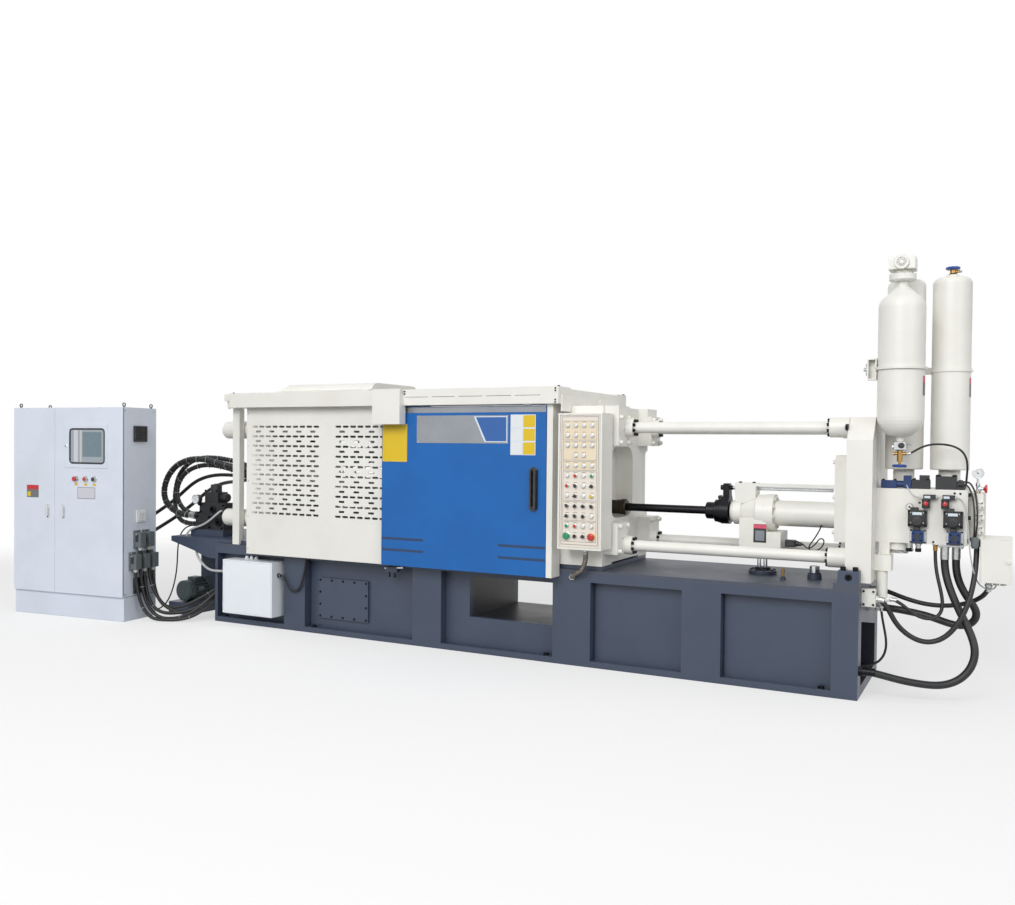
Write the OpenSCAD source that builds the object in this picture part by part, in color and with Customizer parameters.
// Cold chamber die casting machine with its accumulators and electric cabinet, in millimetres.
// X runs along the machine towards the injection end, the operator stands at -Y, Z is up.
// The origin is on the floor, under the middle of the welded base.

/* [Base] */
// Length of the welded base
base_l = 5050; // [4900:10:5400]
// Width of the welded base
base_w = 936; // [880:4:1000]
// Height of the deck above the floor
deck_z = 650; // [600:10:720]
// Thickness of the deck plate
deck_t = 20; // [12:1:30]
// Depth of the recessed side panels
recess_d = 74; // [40:1:110]
// Height of the bottom flange
flange_h = 41; // [30:1:60]
// Depth of the lip under the deck
lip_h = 80; // [60:1:110]
// Thickness of the bed plate under the clamp unit
bed_t = 30; // [20:1:40]
// Radius of an anchor hole in the bottom flange
anchor_r = 11; // [8:1:14]
// Reach of the pump bracket past the base
bracket_l = 534; // [460:2:600]

/* [Clamp unit] */
// Distance from the tie bar centres to the middle, across
tie_y = 331; // [325:1:345]
// Height of the lower tie bars
tie_low_z = 860; // [850:2:880]
// Height of the upper tie bars
tie_high_z = 1592; // [1560:2:1600]
// Diameter of a tie bar
tie_d = 110; // [90:1:114]
// Fixed platen, from the left end of the base to its mould face
fixed_at = 3091; // [3085:1:3120]
// Thickness of the fixed platen in its middle
platen_t = 340; // [300:2:360]
// Width of the platens
platen_w = 900; // [880:2:912]
// Moving platen, from the left end of the base
moving_at = 1800; // [1780:5:1860]
// Thickness of the moving platen
moving_t = 260; // [220:2:280]
// Rear platen, from the left end of the base
rear_at = 330; // [320:2:360]
// Thickness of the rear platen
rear_t = 250; // [220:2:280]
// Diameter of a toggle pin
pin_d = 60; // [50:1:70]

/* [Guard] */
// Sheet metal thickness of guards and covers
sheet_t = 3; // [2:0.5:5]
// Height of the guard rail's underside
rail_z = 1766; // [1760:2:1800]
// Height of the guard rail
rail_h = 114; // [90:2:130]
// Rise of the hood over the guard rails
hood_h = 82; // [60:2:110]
// Length of a ventilation slot
slot_l = 53; // [40:1:58]
// Width of a ventilation slot
slot_w = 16; // [10:1:20]
// Spacing of the ventilation slots in a full row
slot_step = 68; // [64:1:70]
// Height between two rows of slots
row_step = 38; // [34:1:40]
// Width of the sliding door
door_w = 1328; // [1260:2:1340]
// Thickness of the sliding door
door_t = 22; // [18:1:26]

/* [Injection unit] */
// Height of the shot axis
shot_z = 1058; // [1050:2:1066]
// Diameter of the plunger rod
plunger_d = 54; // [40:1:56]
// Diameter of the piston rod
shot_rod_d = 80; // [70:1:90]
// Diameter of the injection tie rods
rod_d = 74; // [60:1:84]
// Thickness of the injection plate
inj_t = 147; // [120:1:160]
// Length of the manifold block
manifold_l = 500; // [480:5:520]
// Diameter of a nitrogen bottle
bottle_d = 218; // [190:2:226]
// Height of a nitrogen bottle
bottle_h = 1160; // [1000:10:1240]
// Diameter of the piston accumulator
accu_d = 262; // [240:2:268]

/* [Cabinet] */
// Width of the electric cabinet
cab_w = 1200; // [1150:10:1240]
// Depth of the electric cabinet
cab_d = 400; // [380:10:440]
// Height of the cabinet above its plinth
cab_h = 1570; // [1540:10:1620]
// Height of the plinth
plinth_h = 200; // [160:5:220]
// Width of the left door
left_door_w = 470; // [440:5:500]
// Turn of the cabinet against the machine, in degrees
cab_turn = 6; // [4:1:8]

/* [Hidden] */
$fn = 48;

cream = "#E9E8DF";
slate = "#454F63";
blue = "#2274BF";
black = "#23252A";
steel = "#B9BCC0";
white = "#EEF1F4";

// X at a distance from the left end of the base
function lx(d) = d - base_l / 2;
// X at a distance from the right end of the base
function rx(d) = base_l / 2 + d;

gap = 0.3;
bed_z = deck_z + bed_t;
front_y = -base_w / 2;
pair = [-1, 1];
tie_heights = [tie_low_z, tie_high_z];

// Bays of the base between its posts, from the left end
bays = [[28, 736], [944, 1948], [2194, 3082], [3358, 3985], [4237, base_l - 151]];
tunnel = [2392, 3082];
tunnel_z = [243, 538];
anchor_outer = [90, base_l - 210];
anchor_inner = [1010, 3020];
anchor_inset = 37;
end_block_l = 146;
end_block_h = 38;
cable_mouth = [[-440, 120], [-120, 120], [-120, 470], [-440, 470]];
cable_mouth_d = 20;
hatch_at = [1040, 115];
hatch_size = [470, 317];
hatch_t = 20;

foot_h = 12;
platen_low = bed_z + foot_h;
platen_high = 1757;
platen_h = platen_high - platen_low;
pad_t = 74;
pad_x = fixed_at + platen_t + pad_t;
pad_y = 100;
pad_h = 212;
pad_heights = [763, 1490];
top_pad_h = platen_high - pad_heights[1];
clamp_t = 28;
pocket_d = 130;
pocket = [[-300, 989], [130, 1484]];
pocket_r = 110;
waist = 402;
waist_z = [1010, 1450];

post_y = -600;
rail_front = -640;
rail_back = -440;
rail_l0 = 310;
rail_l1 = 3187;
panel_y = -562;
panel_l0 = 424;
panel_l1 = 2150;
panel_z0 = 597;
right_post_l = 3088;
right_post_w = 43;
left_post_l = 187;
left_post_w = 72;
left_post_d = 56;
door_gap = 6;
door_l0 = right_post_l - door_gap - door_w;
door_z0 = 599;
door_y = -594;
rail_wall = 6;
track_y = door_y + door_t / 2;
track_w = 76;
track_slot = 24;
wheel_d = 44;
handle_w = 46;
handle_h = 283;
handle_z = 1050;
handle_d = 34;
drive_w = 238;
drive_h = 255;
drive_t = 50;

box_l = 3188;
box_w = 309;
box_h = 896;
box_z = 805;
box_rim = 12;
box_inset = 8;
button_step = 58;
button_row = 66;
button_low = 89;

inj_l = base_l - 91;
inj_w = 800;
inj_top = 1676;
inj_cut = 138;
link_l = inj_l - 100;
head_l = inj_l - 779;
head_step = 24;
nose_r = 71;
ring_r = 84;
cone_r0 = 76;
cone_r1 = 111;
body_r = 118;
flange_r = 123;
tube_r = 83;
rod_heights = [817, 1613];
rod_y = 267;
track_z = shot_z + 158;
guide_top = shot_z + 193;
guide_t = 20;
manifold_z0 = 921;
manifold_z1 = 1248;
manifold_w = 390;
manifold_l0 = inj_l + inj_t;
bottle_a = 190;
bottle_b = 445;
bottle_z0 = 1362;
accu_y = -265;
accu_z0 = 1528;
accu_neck = 2448;
term_x = 624;
term_w = 165;
term_d = 330;
term_h = 250;
term_z = 715;
term_barrel = 5;
strip_t = 40;

cab_corner = [-583, -926];

pump_y = -200;
motor_y = -350;
motor_z = 197;
motor_d = 178;
motor_l = 260;
column_z0 = 545;

// Flat plate with its first corner at a point
module slab(at, size) {
    translate(at) cube(size);
}

// Round bar along X between two stations
module bar_x(x0, x1, y, z, d) {
    translate([x0, y, z]) rotate([0, 90, 0]) cylinder(d = d, h = x1 - x0);
}

// Round bar along Y between two stations
module bar_y(x, y0, y1, z, d) {
    translate([x, y0, z]) rotate([-90, 0, 0]) cylinder(d = d, h = y1 - y0);
}

// Upright round bar
module bar_z(x, y, z0, z1, d) {
    translate([x, y, z0]) cylinder(d = d, h = z1 - z0);
}

// Outline in X and Z, extruded along Y
module side_plate(y, t, points) {
    translate([0, y + t, 0]) rotate([90, 0, 0]) linear_extrude(t) polygon(points);
}

// Outline in Y and Z, extruded along X
module side_plate_x(x, t, points) {
    translate([x, 0, 0]) rotate([90, 0, 90]) linear_extrude(t) polygon(points);
}

// Flat rectangle with round corners between two corner points
module rounded(a, b, r) {
    union() {
        translate([a[0] + r, a[1]]) square([b[0] - a[0] - 2 * r, b[1] - a[1]]);
        translate([a[0], a[1] + r]) square([b[0] - a[0], b[1] - a[1] - 2 * r]);
        for (x = [a[0] + r, b[0] - r], y = [a[1] + r, b[1] - r]) translate([x, y]) circle(r);
    }
}

// Points of an arc round a centre
function arc(c, r, a0, a1, n = 8) = [for (i = [0 : n]) let (a = a0 + (a1 - a0) * i / n)
    [c[0] + r * cos(a), c[1] + r * sin(a)]];

// Turned part along X from a profile of radius and station
module turned_x(x, z, profile) {
    translate([x, 0, z]) rotate([0, 90, 0]) rotate_extrude() polygon(profile);
}

module base_frame() {
    color(slate) difference() {
        slab([lx(0), front_y, 0], [base_l, base_w, deck_z - deck_t]);
        for (side = pair, bay = bays)
            slab([lx(bay[0]), side < 0 ? front_y - 1 : -front_y - recess_d, flange_h],
                 [bay[1] - bay[0], recess_d + 1, deck_z - lip_h - flange_h]);
        slab([lx(tunnel[0]), front_y - 1, tunnel_z[0]],
             [tunnel[1] - tunnel[0], base_w + 2, tunnel_z[1] - tunnel_z[0]]);
        side_plate_x(rx(-120), 121, [[-340, 60], [-340, 448], [333, 336], [333, 60]]);
        side_plate_x(lx(-1), cable_mouth_d + 1, cable_mouth);
        for (side = pair, d = concat(anchor_outer, anchor_inner))
            translate([lx(d), side * (base_w / 2 - anchor_inset), -1])
                cylinder(r = anchor_r, h = flange_h + 2);
    }
}

module base_deck() {
    color(slate) union() {
        slab([lx(0), front_y, deck_z - deck_t], [base_l, base_w, deck_t]);
        slab([rx(-end_block_l), front_y, deck_z - 1], [end_block_l, base_w, end_block_h + 1]);
    }
}

module hatch_covers() {
    back = base_w / 2 - recess_d;
    color(slate) for (side = pair)
        slab([lx(hatch_at[0]), side < 0 ? -back - hatch_t : back, hatch_at[1]],
             [hatch_size[0], hatch_t, hatch_size[1]]);
}

module bed_plate() {
    half_w = -rail_back;
    web_t = 16;
    web_low = deck_z - 137;
    web_tip = 12;
    color(slate) union() {
        slab([lx(-bracket_l), -half_w, deck_z],
             [bracket_l + fixed_at + platen_t, 2 * half_w, bed_t]);
        for (y = [-half_w, half_w - web_t])
            side_plate(y, web_t, [
                [lx(-bracket_l), deck_z + 1], [lx(-bracket_l), deck_z - web_tip],
                [lx(-265), deck_z - 82], [lx(-165), deck_z - 118],
                [lx(-90), deck_z - 134], [lx(0), web_low], [lx(0), deck_z + 1]]);
    }
}

// Bores for the tie bars in a platen
module tie_bores(x, t, d) {
    for (side = pair, z = tie_heights) bar_x(x - 1, x + t + 1, side * tie_y, z, d);
}

module platen_block(x, t) {
    slab([x, -platen_w / 2, platen_low], [t, platen_w, platen_h]);
}

// Cast waist on both sides of a platen, between the tie bars
module waist_cuts(x, t) {
    for (side = pair) translate([x - 1, 0, 0]) rotate([90, 0, 90]) linear_extrude(t + 2)
        rounded([side < 0 ? -platen_w : waist, waist_z[0]],
                [side < 0 ? -waist : platen_w, waist_z[1]], 30);
}

// Upright T slots for the die clamps in a mould face that looks along +X or -X
t_slot_ys = [-200, -80, 80, 200];
module t_slots(face_x, way) {
    slot_d = 38;
    head_d = 16;
    for (y = t_slot_ys) {
        slab([way > 0 ? face_x - slot_d : face_x - 1, y - 11, platen_low - 1],
             [slot_d + 1, 22, platen_h + 2]);
        slab([way > 0 ? face_x - slot_d : face_x + slot_d - head_d, y - 18, platen_low - 1],
             [head_d, 36, platen_h + 2]);
    }
}

module fixed_platen() {
    x = lx(fixed_at);
    foot_w = 180;
    color(cream) difference() {
        union() {
            platen_block(x, platen_t);
            for (side = pair, i = [0, 1])
                slab([x + platen_t - 1, side * tie_y - pad_y, pad_heights[i]],
                     [pad_t + 1, 2 * pad_y, i == 0 ? pad_h : top_pad_h]);
            for (y = [-platen_w / 2, platen_w / 2 - foot_w])
                slab([x, y, bed_z], [platen_t, foot_w, foot_h + 1]);
        }
        tie_bores(x, pad_x - fixed_at, tie_d + 2 * gap);
        bar_x(x - 1, x + platen_t + 1, 0, shot_z, sleeve_d + 2 * gap);
        translate([x + platen_t - pocket_d, 0, 0]) rotate([90, 0, 90])
            linear_extrude(pocket_d + 1) rounded(pocket[0], pocket[1], pocket_r);
        waist_cuts(x, platen_t);
        t_slots(x, -1);
    }
}

module moving_platen() {
    x = lx(moving_at);
    shoe_w = 200;
    shoe_l = 60;
    color(cream) difference() {
        union() {
            platen_block(x, moving_t);
            for (y = [-platen_w / 2, platen_w / 2 - shoe_w])
                slab([x - shoe_l, y, bed_z], [moving_t + 2 * shoe_l, shoe_w, foot_h + 1]);
        }
        tie_bores(x, moving_t, tie_d + 2 * gap);
        waist_cuts(x, moving_t);
        t_slots(x + moving_t, 1);
    }
}

module rear_platen() {
    x = lx(rear_at);
    foot_w = 200;
    color(cream) difference() {
        union() {
            platen_block(x, rear_t);
            for (y = [-platen_w / 2, platen_w / 2 - foot_w])
                slab([x, y, bed_z], [rear_t, foot_w, foot_h + 1]);
        }
        tie_bores(x, rear_t, tie_d + 2 * gap);
        bar_x(x - 1, x + rear_t + 1, 0, toggle_z, 90);
        waist_cuts(x, rear_t);
    }
}

module tie_bars() {
    color(steel) for (side = pair, z = tie_heights)
        bar_x(lx(rear_at - 120), lx(pad_x), side * tie_y, z, tie_d);
}

module tie_bar_caps() {
    cap_d = 143;
    cap_l = rear_at + 28;
    dome_r = 80;
    color(cream) for (side = pair, z = tie_heights)
        translate([lx(rear_at - cap_l), side * tie_y, z]) rotate([0, 90, 0]) difference() {
            union() {
                intersection() {
                    cylinder(d = cap_d, h = 60);
                    translate([0, 0, dome_r]) sphere(dome_r);
                }
                translate([0, 0, 59]) cylinder(d = cap_d, h = cap_l - 59);
            }
            translate([0, 0, cap_l - 121]) cylinder(d = tie_d + 2 * gap, h = 122);
        }
}

// Plates that hold the injection tie rods against the fixed platen
module clamp_plates() {
    color(cream) for (side = pair, i = [0, 1])
        slab([lx(pad_x), side * tie_y - pad_y, pad_heights[i]],
             [clamp_t, 2 * pad_y, i == 1 && side < 0 ? top_pad_h : pad_h]);
}

// Double toggle between the rear and the moving platen, drawn with the mould open
toggle_z = (tie_low_z + tie_high_z) / 2;
lug_z = 250;
lug_out = 90;
rear_link = 400;
front_link = 660;
link_t = 40;
link_w = 110;
eye_w = 120;
toggle_x0 = lx(rear_at + rear_t + lug_out);
toggle_x1 = lx(moving_at - lug_out);
toggle_span = toggle_x1 - toggle_x0;
knee_dx = (pow(toggle_span, 2) + pow(rear_link, 2) - pow(front_link, 2)) / (2 * toggle_span);
knee_dz = sqrt(max(pow(rear_link, 2) - pow(knee_dx, 2), 100));

// Flat link with round ends and a waist between two points in X and Z
module link(a, b, y, t, w) {
    run = norm(b - a);
    translate([a[0], y, a[1]]) rotate([0, -atan2(b[1] - a[1], b[0] - a[0]), 0])
        rotate([90, 0, 0]) translate([0, 0, -t]) linear_extrude(t) union() {
            circle(d = w);
            translate([run, 0]) circle(d = w);
            translate([0, -w * 0.35]) square([run, w * 0.7]);
        }
}

// Ear of a platen that carries a pin, drawn from the platen's face
module ear(face_x, pin_x, y, z) {
    x0 = min(face_x, pin_x);
    slab([x0, y, z - eye_w / 2], [abs(pin_x - face_x), link_t, eye_w]);
    bar_y(pin_x, y, y + link_t, z, eye_w);
}

module toggle_linkage() {
    color("#8E949B") for (s = pair) {
        lug_a = [toggle_x0, toggle_z + s * lug_z];
        lug_b = [toggle_x1, toggle_z + s * lug_z];
        knee = [toggle_x0 + knee_dx, toggle_z + s * (lug_z - knee_dz)];
        union() {
            for (y = [-220, -60, 20, 180]) link(lug_a, knee, y, link_t, link_w);
            for (y = [-179, 139]) link(knee, lug_b, y, link_t, link_w);
            for (y = [-179, 139]) ear(lx(rear_at + rear_t), lug_a[0], y, lug_a[1]);
            for (y = [-220, 180]) ear(lx(moving_at), lug_b[0], y, lug_b[1]);
            bar_y(lug_a[0], -226, 226, lug_a[1], pin_d);
            bar_y(lug_b[0], -226, 226, lug_b[1], pin_d);
            bar_y(knee[0], -226, 226, knee[1], pin_d);
        }
    }
}

module closing_cylinder() {
    color(cream) union() {
        bar_x(lx(40), lx(rear_at), 0, toggle_z, 180);
        bar_x(lx(rear_at - 40), lx(rear_at), 0, toggle_z, 240);
        bar_x(lx(60), lx(100), 0, toggle_z, 210);
        for (a = [45 : 90 : 315])
            bar_x(lx(52), lx(rear_at - 30), 98 * cos(a), toggle_z + 98 * sin(a), 22);
        bar_x(lx(rear_at - 1), lx(rear_at + rear_t + 200), 0, toggle_z, 80);
        slab([lx(rear_at + rear_t + 140), -130, toggle_z - 60], [120, 260, 120]);
    }
}

module guard_rails() {
    end_l = 128;
    color(cream) for (side = pair) mirror([0, side > 0 ? 1 : 0, 0]) union() {
        difference() {
            slab([lx(rail_l0), rail_front, rail_z],
                 [rail_l1 - rail_l0, rail_back - rail_front, rail_h]);
            slab([lx(rail_l0) - 1, track_y - track_w / 2, rail_z + rail_wall],
                 [rail_l1 - rail_l0 - 30, track_w, rail_h - 2 * rail_wall]);
            slab([lx(rail_l0) - 1, track_y - track_slot / 2, rail_z - 1],
                 [rail_l1 - rail_l0 - 30, track_slot, rail_wall + 2]);
        }
        slab([lx(rail_l0 - end_l), rail_back - 120, rail_z + rail_h / 2],
             [end_l + 1, 120, rail_h / 2]);
        slab([lx(rail_l0 - end_l + 12), rail_back - 100, rail_z],
             [end_l - 11, 100, rail_h / 2 + 1]);
    }
}

module guard_posts() {
    color(cream) for (side = pair) mirror([0, side > 0 ? 1 : 0, 0]) {
        union() {
            slab([lx(left_post_l), front_y + 2, bed_z],
                 [left_post_w, left_post_d, rail_z - bed_z]);
            slab([lx(left_post_l), front_y + 2, deck_z],
                 [left_post_w, rail_back - front_y - 2 - gap, bed_t + 1]);
        }
        slab([lx(right_post_l), post_y, panel_z0 + 2],
             [right_post_w, front_y - post_y, rail_z - panel_z0 - 2]);
    }
}

// Outline of one ventilation slot with round ends, in X and Z
module slot(x, z) {
    straight = slot_l - slot_w;
    translate([x - straight / 2, z]) union() {
        circle(d = slot_w, $fn = 16);
        translate([straight, 0]) circle(d = slot_w, $fn = 16);
        translate([0, -slot_w / 2]) square([straight, slot_w]);
    }
}

// Rows of slots: a full row, then a row with every second slot, set between
slot_z0 = 931;
slot_rows = 19;
module slot_field(x, full) {
    for (row = [0 : slot_rows - 1], i = [0 : full - 1])
        if (row % 2 == 0 || i % 2 == 0)
            slot(x + (row % 2 == 0 ? i : i + 0.5) * slot_step, slot_z0 + row * row_step);
}

module perforated_panels() {
    first_field = 86;
    second_field = 908;
    color(cream) for (side = pair) mirror([0, side > 0 ? 1 : 0, 0])
        translate([0, panel_y + sheet_t, 0]) rotate([90, 0, 0]) linear_extrude(sheet_t)
            difference() {
                translate([lx(panel_l0), panel_z0])
                    square([panel_l1 - panel_l0, rail_z - panel_z0]);
                slot_field(lx(panel_l0 + first_field), 10);
                slot_field(lx(panel_l0 + second_field), 9);
            }
}

// Sheet metal door, folded back round its edges, with a stiffener across
module folded_door(high) {
    rib = 40;
    color(blue) difference() {
        slab([lx(door_l0), door_y, door_z0], [door_w, door_t, high]);
        for (z = [door_z0 + sheet_t, door_z0 + (high + rib) / 2])
            slab([lx(door_l0) + sheet_t, door_y + sheet_t, z],
                 [door_w - 2 * sheet_t, door_t, (high - rib) / 2 - sheet_t]);
    }
}

// Roller hangers that carry a sliding door in the hollow rail
module hangers() {
    axle_z = rail_z + rail_wall + gap + wheel_d / 2;
    for (d = [door_l0 + 120, door_l0 + door_w - 180]) union() {
        slab([lx(d), track_y - 4, rail_z - 10], [60, 8, axle_z - rail_z + 20]);
        bar_y(lx(d) + 30, track_y - 30, track_y - 14, axle_z, wheel_d);
        bar_y(lx(d) + 30, track_y + 14, track_y + 30, axle_z, wheel_d);
        bar_y(lx(d) + 30, track_y - 31, track_y + 31, axle_z, 16);
    }
}

module rear_door() {
    color(blue) mirror([0, 1, 0]) union() {
        folded_door(rail_z - door_z0 - 10);
        hangers();
    }
}

module door_leaf() {
    folded_door(rail_z - door_z0 - 10);
}

module door_drive_cover() {
    top = rail_z + rail_h + 4;
    low = top - drive_h;
    x = lx(door_l0 - 24);
    back = rail_front;
    tail = 28;
    color(cream) difference() {
        union() {
            slab([x, back - drive_t, low], [drive_w, drive_t, drive_h]);
            slab([x, back - 1, low], [drive_w, tail + 1, rail_z - gap - low]);
        }
        slab([x + sheet_t, back - drive_t + sheet_t, low - 1],
             [drive_w - 2 * sheet_t, drive_t - 2 * sheet_t, drive_h - sheet_t]);
        slab([x + sheet_t, back - sheet_t - 1, low - 1],
             [drive_w - 2 * sheet_t, tail + sheet_t + 2, rail_z - low + 2]);
    }
}

// Cross section of the hood in Y and Z, inset by a sheet thickness
function hood_section(t) = let (w = -rail_back + 40 - 5 * t, r = 90 - t, h = hood_h - t)
    concat([[-w, 0]], arc([-250, h - r], r, 155, 90), arc([250, h - r], r, 90, 25), [[w, 0]]);

module top_hood() {
    hood_l0 = 546;
    hood_l1 = 1475;
    slope = 80;
    top = rail_z + rail_h;
    color(cream) translate([0, 0, top]) difference() {
        intersection() {
            side_plate_x(lx(hood_l0), hood_l1 - hood_l0, hood_section(0));
            side_plate(-600, 1200, [[lx(hood_l0), 0], [lx(hood_l0 + slope), hood_h],
                                    [lx(hood_l1), hood_h], [lx(hood_l1), 0]]);
        }
        translate([0, 0, -0.01]) intersection() {
            side_plate_x(lx(hood_l0), hood_l1 - hood_l0 - sheet_t, hood_section(sheet_t));
            side_plate(-600, 1200, [
                [lx(hood_l0 + sheet_t), -1], [lx(hood_l0 + slope + sheet_t), hood_h],
                [lx(hood_l1), hood_h], [lx(hood_l1), -1]]);
        }
    }
}

module cross_beam() {
    beam_w = 90;
    arm_top = rail_z + 63;
    color(cream) union() {
        slab([lx(rail_l1 - beam_w), rail_back, rail_z], [beam_w, -2 * rail_back, rail_h - 10]);
        for (side = pair) mirror([0, side > 0 ? 1 : 0, 0])
            side_plate_x(lx(rail_l1), 12, concat(
                [[post_y, rail_z - 50], [post_y, arm_top]],
                arc([-112, arm_top - 36], 36, 90, -70, 6),
                [[-120, platen_high + 1], [-platen_w / 2 - 2, platen_high + 1],
                 [-platen_w / 2 - 2, rail_z - 50]]));
    }
}

module door_handle() {
    x = lx(door_l0 + door_w - 112);
    color(black) translate([0, door_y, 0]) rotate([90, 0, 0]) union() {
        linear_extrude(handle_d) difference() {
            rounded([x, handle_z], [x + handle_w, handle_z + handle_h], 18);
            rounded([x + 13, handle_z + 16], [x + handle_w - 13, handle_z + handle_h - 16], 9);
        }
        linear_extrude(6)
            rounded([x - 6, handle_z - 6], [x + handle_w + 6, handle_z + handle_h + 6], 22);
    }
}

module door_hangers() {
    color(steel) hangers();
}

module control_box() {
    color(white) difference() {
        slab([lx(box_l), rail_front, box_z], [box_w, -platen_w / 2 - rail_front, box_h]);
        slab([lx(box_l) + box_rim, rail_front - 1, box_z + box_rim],
             [box_w - 2 * box_rim, box_inset + 1, box_h - 2 * box_rim]);
    }
}

module control_plate() {
    inset = box_rim + 4;
    color(cream) slab([lx(box_l) + inset, rail_front + box_inset - 4, box_z + inset],
                      [box_w - 2 * inset, 4, box_h - 2 * inset]);
}

// Round push buttons in four columns, with a mushroom head at both ends of the lowest row
module control_buttons() {
    face = rail_front + box_inset - 4;
    mid = lx(box_l) + box_w / 2;
    low = box_z + button_low;
    color("#B9BDC0") {
        for (row = [0 : 11], i = [-1.5 : 1.5])
            if ((row > 0 || abs(i) < 1) && (row != 8 || abs(i) < 1))
                bar_y(mid + i * button_step, face - 9, face, low + row * button_row, 27);
        for (i = [-1.5, 1.5])
            bar_y(mid + i * button_step, face - 20, face, low, 44);
    }
}

module injection_rods() {
    color(cream) for (side = pair, z = rod_heights) union() {
        bar_x(lx(pad_x + clamp_t), lx(inj_l), side * rod_y, z, rod_d);
        bar_x(lx(pad_x + clamp_t), lx(pad_x + clamp_t + 55), side * rod_y, z, 126);
        bar_x(lx(inj_l - 114), lx(inj_l), side * rod_y, z, 122);
    }
}

module injection_plate() {
    low = deck_z + end_block_h;
    half_w = inj_w / 2;
    color(cream) side_plate_x(lx(inj_l), inj_t, [
        [-half_w, low], [-half_w, inj_top - inj_cut], [-half_w + inj_cut, inj_top],
        [half_w - inj_cut, inj_top], [half_w, inj_top - inj_cut], [half_w, low]]);
}

module link_plate() {
    half_w = 165;
    link_z0 = 902;
    link_z1 = 1443;
    corner = 40;
    color(cream) side_plate_x(lx(link_l), inj_l - link_l, [
        [-half_w, link_z0], [-half_w, link_z1 - corner], [-half_w + corner, link_z1],
        [half_w - corner, link_z1], [half_w, link_z1 - corner], [half_w, link_z0]]);
}

module plate_clamps() {
    depth = base_w / 2 - inj_w / 2;
    high = 74;
    long = 121;
    color(slate) for (side = pair)
        slab([rx(-long), side < 0 ? front_y : inj_w / 2, deck_z + end_block_h],
             [long, depth, high]);
}

sleeve_d = 92;
sleeve_bore = 60 + 2 * gap;
sleeve_out = 8;

module shot_sleeve() {
    back = lx(fixed_at + platen_t);
    x0 = lx(fixed_at - 45);
    color("#3A332E") difference() {
        union() {
            bar_x(x0, back - pocket_d + 1, 0, shot_z, sleeve_d);
            bar_x(back - pocket_d, back - 33, 0, shot_z, 102);
            turned_x(back - 34, shot_z, [[0, 0], [51, 0], [56, 6], [56, 36], [50, 42], [0, 42]]);
        }
        bar_x(x0 - 1, back + sleeve_out + 1, 0, shot_z, sleeve_bore);
        slab([back - pocket_d + 20, -24, shot_z], [52, 48, 80]);
    }
}

// Outline of the shot cylinder's head, radius and station, grown by a clearance
function head_profile(g) = let (s = head_l) [
    [0, 0 - g], [nose_r - 6 + g, 0 - g], [nose_r + g, 8 - g], [nose_r + g, head_step - g],
    [ring_r + g, head_step - g], [ring_r + g, 78 + g], [cone_r0 + g, 78 + g],
    [cone_r1 + g, 170], [body_r + g, 178], [body_r + g, 232 - g], [flange_r + g, 232 - g],
    [flange_r + g, 290 + g], [tube_r + g, 290 + g]];

module shot_cylinder() {
    tube_l = link_l - head_l;
    color(cream) difference() {
        turned_x(lx(head_l), shot_z, concat(head_profile(0), [[tube_r, tube_l], [0, tube_l]]));
        bar_x(lx(head_l) - 1, lx(link_l - 60), 0, shot_z, shot_rod_d + 2 * gap);
    }
}

// Bridge on the head that guides the tracking rod, with its rail back to the link plate
module shot_saddle() {
    x = lx(head_l + 35);
    long = 135;
    rail_y = -60;
    color(cream) difference() {
        union() {
            slab([x, rail_y, shot_z + 60], [long, 120, guide_top - shot_z - 60]);
            slab([x, rail_y, guide_top - guide_t], [lx(link_l) - x, 44, guide_t]);
        }
        bar_x(x - 1, x + long + 1, 0, track_z, 24);
        turned_x(lx(head_l), shot_z, concat(head_profile(gap), [[0, 300]]));
    }
}

module shot_support() {
    x = lx(head_l + 78);
    low = shot_z - 222;
    half_w = 110;
    foot = [lx(head_l + 220), 40];
    color(cream) difference() {
        union() {
            slab([x, -half_w, low], [173, 2 * half_w, 190]);
            slab([x + 172, -half_w, low], [94, 2 * half_w, 104]);
            for (dx = [-42, -2]) bar_z(foot[0] + dx, foot[1], deck_z + 20, low + 1, 26);
            bar_z(foot[0] - 20, foot[1], deck_z, deck_z + 24, 180);
            bar_z(foot[0] - 20, foot[1], deck_z + 23, deck_z + 44, 96);
        }
        turned_x(lx(head_l), shot_z, concat(head_profile(gap), [[0, 300]]));
    }
}

module plunger_rod() {
    tip = lx(fixed_at + 279);
    hub = lx(head_l - 169);
    color(black) union() {
        bar_x(tip, tip + 58, 0, shot_z, 60);
        bar_x(tip + 57, tip + 86, 0, shot_z, plunger_d - 4);
        bar_x(tip + 85, tip + 106, 0, shot_z, plunger_d + 3);
        bar_x(tip + 105, hub + 1, 0, shot_z, plunger_d);
        turned_x(hub, shot_z, [
            [0, 0], [52, 0], [57, 6], [57, 58], [71, 60], [75.5, 64], [75.5, 80], [73, 82],
            [80, 84], [80, 100], [78, 103], [0, 103]]);
        bar_x(hub + 102, lx(link_l - 180), 0, shot_z, shot_rod_d);
    }
}

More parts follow.
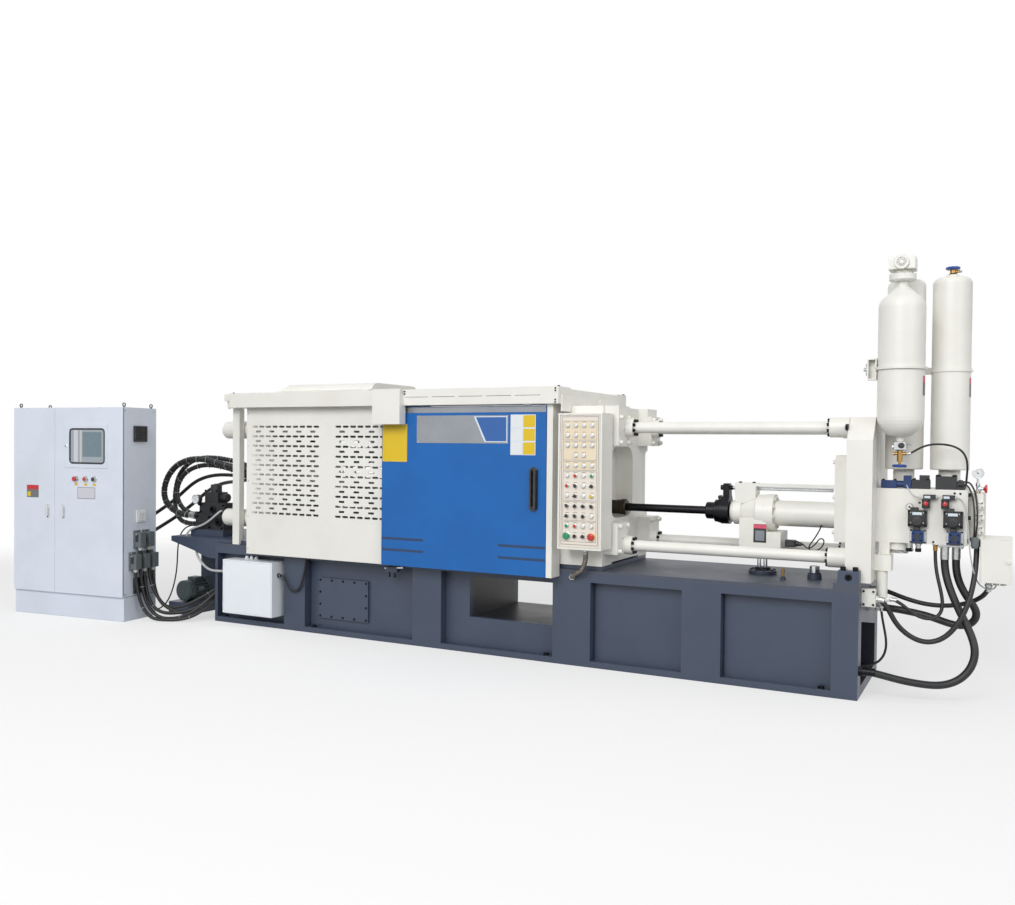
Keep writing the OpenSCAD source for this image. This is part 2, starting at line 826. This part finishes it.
// Arm on the piston rod that carries the tracking rod over the cylinder
module plunger_arm() {
    x = lx(head_l - 66);
    arm_t = 58;
    arm_r = 86;
    top = track_z + 28;
    color(black) union() {
        difference() {
            intersection() {
                translate([x, 0, 0]) rotate([90, 0, 90]) linear_extrude(arm_t) union() {
                    translate([0, shot_z]) circle(arm_r);
                    polygon([[-76, shot_z + 40], [-34, shot_z + 110], [-34, top - 10],
                             [-24, top], [24, top], [34, top - 10], [34, shot_z + 110],
                             [76, shot_z + 40]]);
                }
                side_plate(-100, 200, [
                    [x, shot_z - arm_r - 1], [x, shot_z + 82], [x + 14, shot_z + 100],
                    [x + 14, top + 1], [x + arm_t - 4, top + 1], [x + arm_t, shot_z + 82],
                    [x + arm_t, shot_z - arm_r - 1]]);
            }
            bar_x(x - 1, x + arm_t + 1, 0, shot_z, shot_rod_d + 2 * gap);
        }
        bar_x(x - 6, lx(link_l - 30), 0, track_z, 18);
        bar_x(x - 8, x + 15, 0, track_z, 34);
        bar_x(x + arm_t - 5, x + arm_t + 14, 0, track_z, 30);
    }
}

module manifold() {
    color(cream) slab([lx(manifold_l0), -manifold_w / 2, manifold_z0],
                      [manifold_l, manifold_w, manifold_z1 - manifold_z0]);
}

// Cartridge cover with a round relief knob, on the front of the manifold
module cover_valve(x, z) {
    face = -manifold_w / 2;
    slab([x, face - 38, z], [104, 38, 98]);
    slab([x + 12, face - 56, z + 18], [80, 19, 74]);
    bar_y(x + 52, face - 72, face - 55, z + 40, 58);
}

// Small solenoid valve with its plug
module relief_valve(x, z) {
    face = -manifold_w / 2;
    slab([x, face - 48, z], [42, 48, 54]);
    bar_y(x + 21, face - 58, face - 47, z + 27, 26);
    slab([x + 6, face - 34, z + 53], [66, 30, 26]);
}

module manifold_valves() {
    x0 = lx(manifold_l0);
    top = manifold_z1;
    color(black) {
        for (x = [181, 372]) union() cover_valve(x0 + x, 1025);
        for (x = [257, 360]) union() relief_valve(x0 + x, 1138);
        union() {
            slab([x0 + 193, -175, top], [98, 110, 52]);
            slab([x0 + 235, -160, top + 51], [52, 70, 30]);
        }
        union() {
            slab([x0 + 325, -190, top], [112, 120, 76]);
            slab([x0 + 436, -180, top], [40, 100, 50]);
        }
        bar_y(x0 + 187, -202, -195, 1140, 40);
    }
}

// Blue solenoid valves on their plates, two on the front and one on top
module pilot_valves() {
    x0 = lx(manifold_l0);
    face = -manifold_w / 2;
    color(blue) {
        for (x = [190, 388]) union() {
            slab([x0 + x, face - 8, manifold_z0 + 2], [92, 8, 84]);
            slab([x0 + x + 14, face - 52, manifold_z0 + 6], [64, 45, 76]);
            slab([x0 + x + 22, face - 60, manifold_z0 + 16], [48, 9, 56]);
        }
        union() {
            slab([x0 + 24, -185, manifold_z1], [86, 60, 48]);
            bar_x(x0 + 109, x0 + 150, -155, manifold_z1 + 26, 40);
            slab([x0 + 149, -180, manifold_z1 + 2], [42, 50, 76]);
        }
    }
}

module accumulator() {
    r = accu_d / 2;
    dome = 62;
    color(cream) translate([rx(bottle_a), accu_y, 0]) union() {
        rotate_extrude() polygon(concat(
            [[0, accu_z0], [22, accu_z0], [22, accu_z0 + 30]],
            arc([r - 124, accu_z0 + 148], 124, -62, 0, 6),
            arc([r - dome - 24, accu_neck - 66 - dome], dome + 24, 0, 60, 6),
            [[32, accu_neck], [32, accu_neck + 30], [68, accu_neck + 32], [75, accu_neck + 38],
             [75, accu_neck + 71], [52, accu_neck + 76], [52, accu_neck + 96], [0, accu_neck + 96]]));
        slab([-73, -73, accu_neck + 95], [146, 146, 72]);
        bar_y(0, -88, -72, accu_neck + 134, 84);
    }
}

module gas_bottles() {
    r = bottle_d / 2;
    foot_r = 61;
    color(cream) for (x = [bottle_a, bottle_b]) translate([rx(x), 0, 0]) rotate_extrude()
        polygon(concat(
            [[0, manifold_z1], [foot_r, manifold_z1], [foot_r, bottle_z0], [r - 4, bottle_z0],
             [r, bottle_z0 + 5]],
            arc([r - 40, bottle_z0 + bottle_h - 40], 40, 0, 75, 6),
            [[36, bottle_z0 + bottle_h], [36, bottle_z0 + bottle_h + 16],
             [0, bottle_z0 + bottle_h + 16]]));
}

// Shut-off valve with its handwheel: body, side ports, stem and wheel, upwards or downwards
module gas_valve(x, y, z, way) {
    translate([x, y, z]) mirror([0, 0, way < 0 ? 1 : 0]) union() {
        slab([-30, -24, 0], [60, 48, 46]);
        bar_z(0, 0, 45, 118, 32);
        bar_x(-38, 38, 0, 70, 18);
        bar_z(0, 0, 117, 138, 16);
        bar_z(0, 0, 136, 152, 66);
    }
}

module gas_valves() {
    top = bottle_z0 + bottle_h + 16;
    color("#B08A3E") {
        gas_valve(rx(bottle_a), accu_y, accu_z0, -1);
        for (x = [bottle_a, bottle_b]) translate([rx(x), 0, top]) union() {
            bar_z(0, 0, 0, 34, 34);
            bar_x(-10, 34, 0, 20, 16);
            bar_z(0, 0, 33, 48, 60);
        }
    }
}

strap_z = 1962;
strap_t = 12;
channel_w = 54;
channel_h = 128;

// Round clamp bars on the accumulator and the bottles, and the channel that draws them tight
module bottle_strap() {
    r = accu_d / 2 + gap;
    rb = bottle_d / 2 + gap;
    x = rx(bottle_a);
    channel_x = x - r - channel_w - 2;
    color(cream) difference() {
        union() {
            translate([x, accu_y, strap_z - 7]) cylinder(r = r + strap_t, h = 14);
            slab([x - 60, accu_y, strap_z - 20], [120, -accu_y, 40]);
            slab([x, -20, strap_z - 20], [bottle_b - bottle_a, 40, 40]);
            slab([channel_x, accu_y - 30, strap_z - channel_h / 2], [channel_w, 60, channel_h]);
            slab([channel_x + channel_w - 1, accu_y - 12, strap_z - 7], [20, 24, 14]);
        }
        translate([x, accu_y, strap_z - 40]) cylinder(r = r, h = 80);
        translate([x, 0, strap_z - 40]) cylinder(r = rb, h = 80);
        translate([rx(bottle_b), 0, strap_z - 40]) cylinder(r = rb, h = 80);
        slab([channel_x + 8, accu_y - 31, strap_z - channel_h / 2 + 8],
             [channel_w - 16, 50, channel_h - 16]);
    }
}

module lift_column() {
    x = lx(manifold_l0);
    column_d = 65;
    color(cream) union() {
        bar_z(x + 42, -222, column_z0, 755, column_d);
        bar_z(x + 42, -222, column_z0 - 16, column_z0 + 1, 44);
        bar_x(x + 42, x + 88, -222, 580, 28);
        slab([x, -260, 752], [96, 120, 96]);
        slab([x + 20, -200, 847], [60, 60, manifold_z0 - 847]);
        bar_z(x + 115, -88, 876, manifold_z0, 172);
        bar_z(x + 115, -88, 852, 877, 120);
    }
    color(white) slab([rx(0), -352, 543], [78, 52, 107]);
}

// Wall mounted box with its side bracket, open at the front under the door
module terminal_box() {
    x = rx(term_x);
    y = -195;
    bracket_z = 964;
    color(cream) union() {
        difference() {
            slab([x, y, term_z], [term_w, term_d, term_h]);
            slab([x + sheet_t, y - 5, term_z + sheet_t],
                 [term_w - 2 * sheet_t, term_d + 5 - sheet_t, term_h - 2 * sheet_t]);
        }
        slab([lx(manifold_l0 + manifold_l), -110, bracket_z],
             [x + 20 - lx(manifold_l0 + manifold_l), 220, 267]);
        slab([x - 28, y + 8, bracket_z + 1], [strip_t, 90, 266]);
        for (dx = [46, 84, 122]) bar_z(x + dx, -80, term_z - 24, term_z + 1, 34);
        for (z = [1020, 1092, 1164]) bar_y(x - 8, y - 12, y + 9, z, 52);
    }
}

module terminal_door() {
    x = rx(term_x);
    y = -195;
    color(cream) union() {
        slab([x + term_barrel, y - gap - 6, term_z], [term_w - term_barrel, 6, term_h]);
        bar_z(x + term_barrel, y - gap - term_barrel, term_z, term_z + term_h, 2 * term_barrel);
        bar_y(x + term_w - 18, y - gap - 16, y - gap - 5, term_z + term_h / 2, 20);
    }
}

// Pump group on the bracket: riser valve body, covers, solenoids and the pressure gauge
module pump_block() {
    z = bed_z + 56;
    color(black) {
        union() {
            slab([lx(-400), pump_y - 90, z], [325, 170, 130]);
            slab([lx(-375), pump_y - 70, z + 129], [290, 130, 100]);
            bar_x(lx(-425), lx(-399), pump_y - 55, z + 114, 66);
            bar_x(lx(-425), lx(-399), pump_y + 35, z + 114, 56);
            bar_x(lx(-425), lx(-399), pump_y + 50, z + 28, 52);
            slab([lx(-322), pump_y - 60, z + 228], [150, 120, 92]);
            bar_z(lx(-247), pump_y, z + 319, z + 384, 96);
            bar_x(lx(-173), lx(-110), pump_y, z + 274, 70);
            bar_y(lx(-130), pump_y - 105, pump_y - 89, z + 70, 70);
            bar_y(lx(-215), pump_y - 84, pump_y - 69, z + 175, 62);
        }
        union() {
            bar_y(lx(-366), pump_y - 112, pump_y - 84, 994, 78);
            slab([lx(-374), pump_y - 92, 940], [16, 22, 40]);
        }
    }
}

// Flange motor across the machine: fan cowl, ribbed barrel, end shield and feet
module pump_motor() {
    rib_d = 6;
    body_r0 = motor_d / 2 - 14;
    color("#4A5553") union() {
        bar_y(lx(-477), motor_y, motor_y + 62, motor_z, motor_d);
        bar_y(lx(-477), motor_y - 8, motor_y + 1, motor_z, motor_d - 26);
        bar_y(lx(-477), motor_y + 61, motor_y + 240, motor_z, 2 * body_r0);
        for (a = [0 : 20 : 340])
            translate([lx(-477), motor_y + 62, motor_z]) rotate([0, a, 0])
                slab([body_r0 - 4, 0, -rib_d / 2], [16, 165, rib_d]);
        bar_y(lx(-477), motor_y + 226, motor_y + motor_l, motor_z, motor_d - 4);
        slab([lx(-477) - 80, motor_y + 84, 104], [160, 120, 22]);
        slab([lx(-477) - 62, motor_y + 84, 104], [124, 120, 60]);
        slab([lx(-477) - 45, motor_y + 90, motor_z + body_r0 - 6], [90, 90, 40]);
    }
}

// Slate stands: the block under the motor with its suction column, and the pump riser
module pump_stand() {
    color(slate) {
        union() {
            slab([lx(-602), motor_y - 50, 0], [232, 470, 104]);
            slab([lx(-bracket_l + 4), motor_y + motor_l, 103], [160, 150, deck_z - 103]);
        }
        slab([lx(-436), pump_y - 110, bed_z], [370, 210, 56]);
    }
}

module junction_box() {
    box = [516, 172, 436];
    at = [lx(177), -566, 100];
    color(white) union() {
        difference() {
            slab(at, box);
            for (dx = [10, box[0] - 13]) slab(at + [dx, -1, 10], [3, 4, box[2] - 20]);
            for (dz = [10, box[2] - 13]) slab(at + [10, -1, dz], [box[0] - 20, 4, 3]);
        }
        for (dx = [150, 200, 250]) bar_z(at[0] + dx, at[1] + 120, at[2] + box[2] - 1, 556, 26);
        bar_x(at[0] + box[0] - 1, at[0] + box[0] + 22, -490, 430, 30);
        bar_x(at[0] - 20, at[0] + 1, -520, 430, 28);
    }
}

function unit(v) = v / norm(v);
function tangents(p) = [for (i = [0 : len(p) - 1])
    unit(p[min(i + 1, len(p) - 1)] - p[max(i - 1, 0)])];
function first_normal(t) = unit(cross(t, abs(t[2]) < 0.8 ? [0, 0, 1] : [1, 0, 0]));
// Ring direction carried along the route without twist
function carried(t, i) = i == 0 ? first_normal(t[0])
    : let (n = carried(t, i - 1)) unit(n - (n * t[i]) * t[i]);

// Round tube through the points of a route
module tube(p, d, sides = 8) {
    t = tangents(p);
    last = len(p) - 1;
    points = [for (i = [0 : last]) let (n = carried(t, i), b = cross(t[i], n))
        for (k = [0 : sides - 1])
            p[i] + d / 2 * (cos(360 * k / sides) * n + sin(360 * k / sides) * b)];
    walls = [for (i = [0 : last - 1], k = [0 : sides - 1]) let (m = (k + 1) % sides)
        [i * sides + k, (i + 1) * sides + k, (i + 1) * sides + m, i * sides + m]];
    ends = [[for (k = [0 : sides - 1]) k],
            [for (k = [sides - 1 : -1 : 0]) last * sides + k]];
    polyhedron(points, concat(walls, ends), convexity = 8);
}

// Routes of the hoses at the injection end
return_hose = [[2960, -150, 921], [2960, -150, 860], [2960, -150, 790], [2980, -170, 700],
    [3035, -190, 560], [3105, -210, 420], [3135, -230, 325], [3120, -245, 230],
    [3060, -265, 150], [2970, -290, 110], [2860, -320, 110], [2735, -360, 130],
    [2620, -392, 158], [2570, -400, 165], [2525, -400, 165]];
loop_hose = [[3020, -110, 921], [3020, -110, 860], [3020, -110, 770], [3040, -110, 690],
    [3095, -110, 590], [3140, -100, 535], [3135, -95, 480], [3095, -85, 440],
    [3030, -75, 430], [2950, -65, 450], [2860, -55, 475], [2750, -45, 490],
    [2640, -40, 500], [2525, -40, 500]];
drain_hose = [[2910, -160, 921], [2910, -160, 835], [2920, -175, 750], [2945, -190, 650],
    [2960, -200, 565], [2945, -210, 500], [2895, -220, 475], [2820, -225, 490],
    [2752, -225, 545], [2705, -222, 580], [2669, -222, 580]];
supply_hose = [[2603, -326, 590], [2632, -326, 590], [2668, -318, 545], [2705, -302, 460],
    [2775, -282, 385], [2865, -265, 345], [2955, -262, 370], [3035, -262, 460],
    [3090, -245, 585], [3122, -205, 740], [3130, -165, 880], [3130, -160, 925],
    [3130, -160, 965]];
box_hose = [[2525, 60, 600], [2600, 60, 600], [2680, 55, 570], [2770, 40, 545],
    [2870, 20, 530], [2970, 0, 535], [3060, -20, 555], [3140, -50, 595],
    [3188, -76, 640], [3195, -80, 665], [3195, -80, 691]];
gauge_hose = [[2753, -265, 1458], [2780, -265, 1458], [2808, -258, 1485], [2855, -240, 1512],
    [2930, -215, 1518], [3000, -200, 1508], [3050, -180, 1480], [3072, -160, 1430],
    [3074, -138, 1360], [3066, -120, 1300], [3066, -120, 1248]];
bleed_hose = [[2623, -222, 529], [2623, -222, 490], [2640, -212, 400], [2655, -202, 290],
    [2635, -200, 215], [2590, -200, 170], [2520, -200, 155], [2405, -200, 155]];

module right_hoses() {
    color(black) {
        tube(return_hose, 44);
        tube(loop_hose, 44);
        tube(drain_hose, 20);
        tube(supply_hose, 30);
        tube(box_hose, 28);
        tube(gauge_hose, 12);
        tube(bleed_hose, 14);
    }
}

// Point beside the cabinet: out from its right side, back from its front, height
function cab_at(out, back, z) = [
    lx(cab_corner[0]) + out * cos(cab_turn) - back * sin(cab_turn),
    cab_corner[1] + out * sin(cab_turn) + back * cos(cab_turn), z];

// Routes of the hoses at the pump end
gland_a = [-498, 640];
gland_b = [-440, 560];
gland_l = 18;
outer_hose = [[-2485, -50, 1250], [-2530, -50, 1250], [-2590, -75, 1260], [-2680, -95, 1275],
    [-2820, -115, 1305], [-2990, -125, 1335], [-3150, -140, 1330], [-3300, -155, 1270],
    [-3390, -170, 1165], [-3410, -190, 1045], [-3365, -210, 955], [-3260, -230, 890],
    [-3120, -250, 852], [-3010, -255, 850], [-2950, -255, 850]];
middle_hose = [[-2485, 0, 1200], [-2530, 0, 1200], [-2600, -22, 1217], [-2720, -45, 1245],
    [-2860, -65, 1275], [-3000, -80, 1285], [-3120, -95, 1265], [-3230, -110, 1210],
    [-3300, -125, 1110], [-3300, -140, 1010], [-3250, -150, 925], [-3150, -160, 865],
    [-3040, -165, 850], [-2950, -165, 850]];
inner_hose = [[-2485, 40, 1250], [-2530, 40, 1250], [-2630, 20, 1290], [-2800, 0, 1330], [-2980, -20, 1350],
    [-3140, -35, 1340], [-3270, -45, 1285], [-3360, -55, 1190], [-3400, -60, 1070],
    [-3400, -70, 950], [-3365, -85, 850], [-3290, -105, 785], [-3180, -130, 764],
    [-3060, -150, 764], [-2950, -150, 764]];
cabinet_hose_a = [cab_at(gland_a[0], cab_d + gland_l, gland_a[1]),
    cab_at(gland_a[0], cab_d + 80, gland_a[1]), [-3615, -380, 705],
    [-3570, -240, 790], [-3520, -100, 880], [-3450, -5, 970], [-3360, 35, 1060],
    [-3260, 52, 1130], [-3130, 60, 1175], [-2980, 58, 1195], [-2820, 55, 1195],
    [-2640, 52, 1187], [-2530, 50, 1180], [-2485, 50, 1180]];
cabinet_hose_b = [cab_at(gland_b[0], cab_d + gland_l, gland_b[1]),
    cab_at(gland_b[0], cab_d + 80, gland_b[1]), [-3560, -380, 600],
    [-3530, -240, 665], [-3490, -90, 745], [-3430, 20, 825], [-3340, 85, 915],
    [-3240, 115, 1000], [-3130, 122, 1070], [-3000, 115, 1115], [-2850, 80, 1135],
    [-2700, 15, 1148], [-2600, -20, 1160], [-2530, -30, 1165], [-2485, -30, 1165]];
valve_conduit = [[-2640, -270, 900], [-2642, -298, 897], [-2680, -318, 855], [-2760, -322, 800],
    [-2850, -325, 760], [-2930, -338, 742], [-2965, -350, 716], [-2965, -350, 680]];
box_conduit = [[-2830, -380, 650], [-2830, -380, 605], [-2800, -405, 535],
    [-2730, -435, 490], [-2650, -465, 450], [-2560, -495, 425], [-2460, -515, 425],
    [-2400, -520, 430], [-2368, -520, 430]];

module left_hoses() {
    color(black) {
        tube(outer_hose, 50);
        tube(middle_hose, 38);
        tube(inner_hose, 38);
        tube(cabinet_hose_a, 32);
        tube(cabinet_hose_b, 32);
        tube(valve_conduit, 18);
        tube(box_conduit, 20);
    }
}

// Routes of the cables between the cabinet and the machine
plug_out = 45;
upper_plugs = [163, 266];
lower_plugs = [110, 215, 315];
upper_z = 604;
lower_z = 426;
outlet = 12;
cable_a = [cab_at(plug_out, upper_plugs[0], upper_z - outlet),
    cab_at(plug_out, upper_plugs[0], 500), cab_at(plug_out, upper_plugs[0], 405),
    [-3070, -752, 300], [-3045, -738, 170], [-3000, -715, 75], [-2930, -690, 22],
    [-2830, -650, 16], [-2730, -600, 40], [-2640, -530, 110], [-2575, -440, 205],
    [-2530, -375, 262], [-2505, -375, 262]];
cable_b = [cab_at(plug_out, upper_plugs[1], upper_z - outlet),
    cab_at(plug_out, upper_plugs[1], 500), cab_at(plug_out, upper_plugs[1], 400),
    [-3072, -648, 290], [-3025, -632, 190], [-2960, -605, 105], [-2880, -570, 60],
    [-2790, -530, 60], [-2700, -470, 110], [-2620, -390, 200], [-2565, -332, 280],
    [-2530, -300, 328], [-2505, -300, 328]];
cable_c = [cab_at(plug_out, lower_plugs[0], lower_z - outlet),
    cab_at(plug_out, lower_plugs[0], 360), [-3065, -805, 270], [-3045, -795, 170],
    [-3005, -780, 80], [-2940, -755, 22], [-2850, -720, 16], [-2750, -670, 16],
    [-2650, -590, 45], [-2585, -490, 112], [-2530, -405, 168], [-2505, -405, 168]];
cable_d = [cab_at(plug_out, lower_plugs[1], lower_z - outlet),
    cab_at(plug_out, lower_plugs[1], 360), [-3075, -705, 270], [-3050, -695, 170],
    [-3005, -675, 90], [-2930, -650, 55], [-2840, -610, 55], [-2740, -550, 75],
    [-2650, -470, 130], [-2575, -380, 200], [-2530, -318, 245], [-2505, -318, 245]];
cable_e = [cab_at(plug_out, lower_plugs[2], lower_z - outlet),
    cab_at(plug_out, lower_plugs[2], 360), [-3085, -606, 280], [-3060, -600, 190],
    [-3010, -585, 110], [-2935, -560, 85], [-2850, -520, 95], [-2750, -450, 150],
    [-2660, -370, 220], [-2585, -290, 280], [-2530, -228, 318], [-2505, -228, 318]];
drop_cable = [[-2925, -270, 765], [-2960, -270, 765], [-3030, -270, 755],
    [-3100, -265, 715], [-3150, -258, 650], [-3170, -256, 560], [-3172, -265, 380],
    [-3185, -280, 250], [-3210, -305, 130], [-3245, -345, 40], [-3285, -395, 9],
    [-3320, -440, 8], cab_at(-180, cab_d + 60, 8), cab_at(-180, cab_d, 8)];
loop_cable = [[-1810, -490, 430], [-1788, -490, 430], [-1765, -490, 405],
    [-1740, -490, 350], [-1700, -490, 308], [-1650, -490, 306], [-1610, -490, 350],
    [-1580, -490, 430], [-1562, -490, 510], [-1552, -490, 600], [-1550, -492, 652],
    [-1550, -478, 667], [-1550, -462, 670], [-1550, -440, 670]];

module cabinet_cables() {
    color(black) {
        for (route = [cable_a, cable_b, cable_c, cable_d, cable_e]) tube(route, 28);
        tube(drop_cable, 12);
        tube(loop_cable, 16);
    }
}

// Places the cabinet beside the left end of the machine, turned a little
module by_cabinet() {
    translate([lx(cab_corner[0]), cab_corner[1], 0]) rotate([0, 0, cab_turn])
        translate([-cab_w, 0, 0]) children();
}

cab_door_t = 22;
cab_top = plinth_h + cab_h;
barrel_r = 7;
door_seam = 2;

module cabinet_shell() {
    color(white) by_cabinet() union() {
        difference() {
            slab([0, cab_door_t + gap, plinth_h], [cab_w, cab_d - cab_door_t - gap, cab_h]);
            slab([sheet_t, cab_door_t - 1, plinth_h + sheet_t],
                 [cab_w - 2 * sheet_t, cab_d - cab_door_t - sheet_t + 1, cab_h - 2 * sheet_t]);
        }
    }
}

module cabinet_plinth() {
    color(white) by_cabinet() slab([0, cab_door_t, 0], [cab_w, cab_d - cab_door_t, plinth_h]);
}

module cabinet_plate() {
    edge = 60;
    stud = 20;
    color(steel) by_cabinet()
        union() {
            slab([edge, cab_d - 40, plinth_h + edge],
                 [cab_w - 2 * edge, sheet_t, cab_h - 2 * edge]);
            for (x = [edge + 30, cab_w - edge - 30 - stud],
                 z = [plinth_h + edge + 30, cab_top - edge - 30 - stud])
                slab([x, cab_d - 38, z], [stud, 38 - sheet_t, stud]);
        }
}

// Cabinet door folded from sheet, with a round hinge edge on the given side
module cabinet_door(u0, u1, hinge_left) {
    low = plinth_h + 2;
    high = cab_h - 4;
    lip = 18;
    a = hinge_left ? u0 + barrel_r : u0;
    b = hinge_left ? u1 : u1 - barrel_r;
    difference() {
        union() {
            slab([a, 0, low], [b - a, cab_door_t, high]);
            bar_z(hinge_left ? a : b, barrel_r, low, low + high, 2 * barrel_r);
        }
        slab([a + lip, sheet_t, low + lip], [b - a - 2 * lip, cab_door_t, high - 2 * lip]);
    }
}

handle_mid_z = 893;
handle_in = 77;

// Swing handle in its oval dish
module swing_handle(u) {
    translate([0, sheet_t, 0]) rotate([90, 0, 0]) union() {
        linear_extrude(sheet_t + 4) rounded([u - 17, handle_mid_z - 57],
                                            [u + 17, handle_mid_z + 57], 16);
        linear_extrude(sheet_t + 14) rounded([u - 8, handle_mid_z - 46],
                                             [u + 8, handle_mid_z + 38], 7);
    }
}

module cabinet_left_door() {
    color(white) by_cabinet() union() {
        cabinet_door(0, left_door_w - door_seam / 2, true);
        swing_handle(left_door_w - handle_in);
    }
}

window = [[168, 1100], [546, 1393]];
bezel = [[112, 1064], [577, 1430]];

// Door with the operator panel behind a window, three buttons and the swing handle
module cabinet_right_door() {
    u = left_door_w;
    z = plinth_h;
    color(white) by_cabinet() union() {
        difference() {
            union() {
                cabinet_door(u + door_seam / 2, cab_w, false);
                translate([0, sheet_t, 0]) rotate([90, 0, 0]) linear_extrude(sheet_t + 4)
                    rounded([u + bezel[0][0], z + bezel[0][1]],
                            [u + bezel[1][0], z + bezel[1][1]], 4);
            }
            translate([0, sheet_t + 1, 0]) rotate([90, 0, 0]) linear_extrude(sheet_t + 8)
                rounded([u + window[0][0], z + window[0][1]],
                        [u + window[1][0], z + window[1][1]], 30);
        }
        slab([u + window[0][0] - 10, sheet_t - 1, z + window[0][1] - 10],
             [window[1][0] - window[0][0] + 20, 4, window[1][1] - window[0][1] + 20]);
        swing_handle(u + handle_in + 20);
        for (d = [238, 342, 435]) bar_y(u + d, -16, sheet_t, z + 971, 40);
        bar_y(u + 132, -14, sheet_t, z + 1247, 18);
    }
}

// Rectangular plug in its wall housing on the cabinet's side, cable outlet below
module plug_hood(v, z) {
    slab([cab_w, v - 36, z - 6], [16, 74, 148]);
    slab([cab_w + 15, v - 30, z + 4], [62, 62, 122]);
    bar_z(cab_w + plug_out, v, z - outlet, z + 5, 34);
}

module cabinet_fittings() {
    inset = 30;
    color(black) by_cabinet() {
        for (z = [plinth_h + 24, plinth_h + 1291])
            slab([cab_w, 130, z], [14, 140, 124]);
        slab([cab_w, 159, 814], [12, 112, 97]);
        for (v = upper_plugs) union() plug_hood(v, upper_z);
        for (v = lower_plugs) union() plug_hood(v, lower_z);
        for (u = [inset, cab_w - inset], v = [cab_door_t + inset, cab_d - inset])
            translate([u, v, cab_top]) union() {
                cylinder(d = 20, h = 8);
                translate([0, 4, 22]) rotate([90, 0, 0]) difference() {
                    cylinder(d = 34, h = 8);
                    translate([0, 0, -1]) cylinder(d = 20, h = 10);
                }
            }
        for (g = [gland_a, gland_b])
            bar_y(cab_w + g[0], cab_d, cab_d + gland_l, g[1], 44);
    }
}

base_frame();
base_deck();
hatch_covers();
bed_plate();
fixed_platen();
moving_platen();
rear_platen();
tie_bars();
tie_bar_caps();
clamp_plates();
toggle_linkage();
closing_cylinder();
guard_rails();
guard_posts();
perforated_panels();
rear_door();
door_drive_cover();
top_hood();
cross_beam();
door_leaf();
door_handle();
door_hangers();
control_box();
control_plate();
control_buttons();
injection_rods();
injection_plate();
link_plate();
plate_clamps();
shot_sleeve();
shot_cylinder();
shot_saddle();
shot_support();
plunger_rod();
plunger_arm();
manifold();
manifold_valves();
pilot_valves();
accumulator();
gas_bottles();
gas_valves();
bottle_strap();
lift_column();
terminal_box();
terminal_door();
pump_block();
pump_motor();
pump_stand();
junction_box();
right_hoses();
left_hoses();
cabinet_cables();
cabinet_shell();
cabinet_plinth();
cabinet_plate();
cabinet_left_door();
cabinet_right_door();
cabinet_fittings();
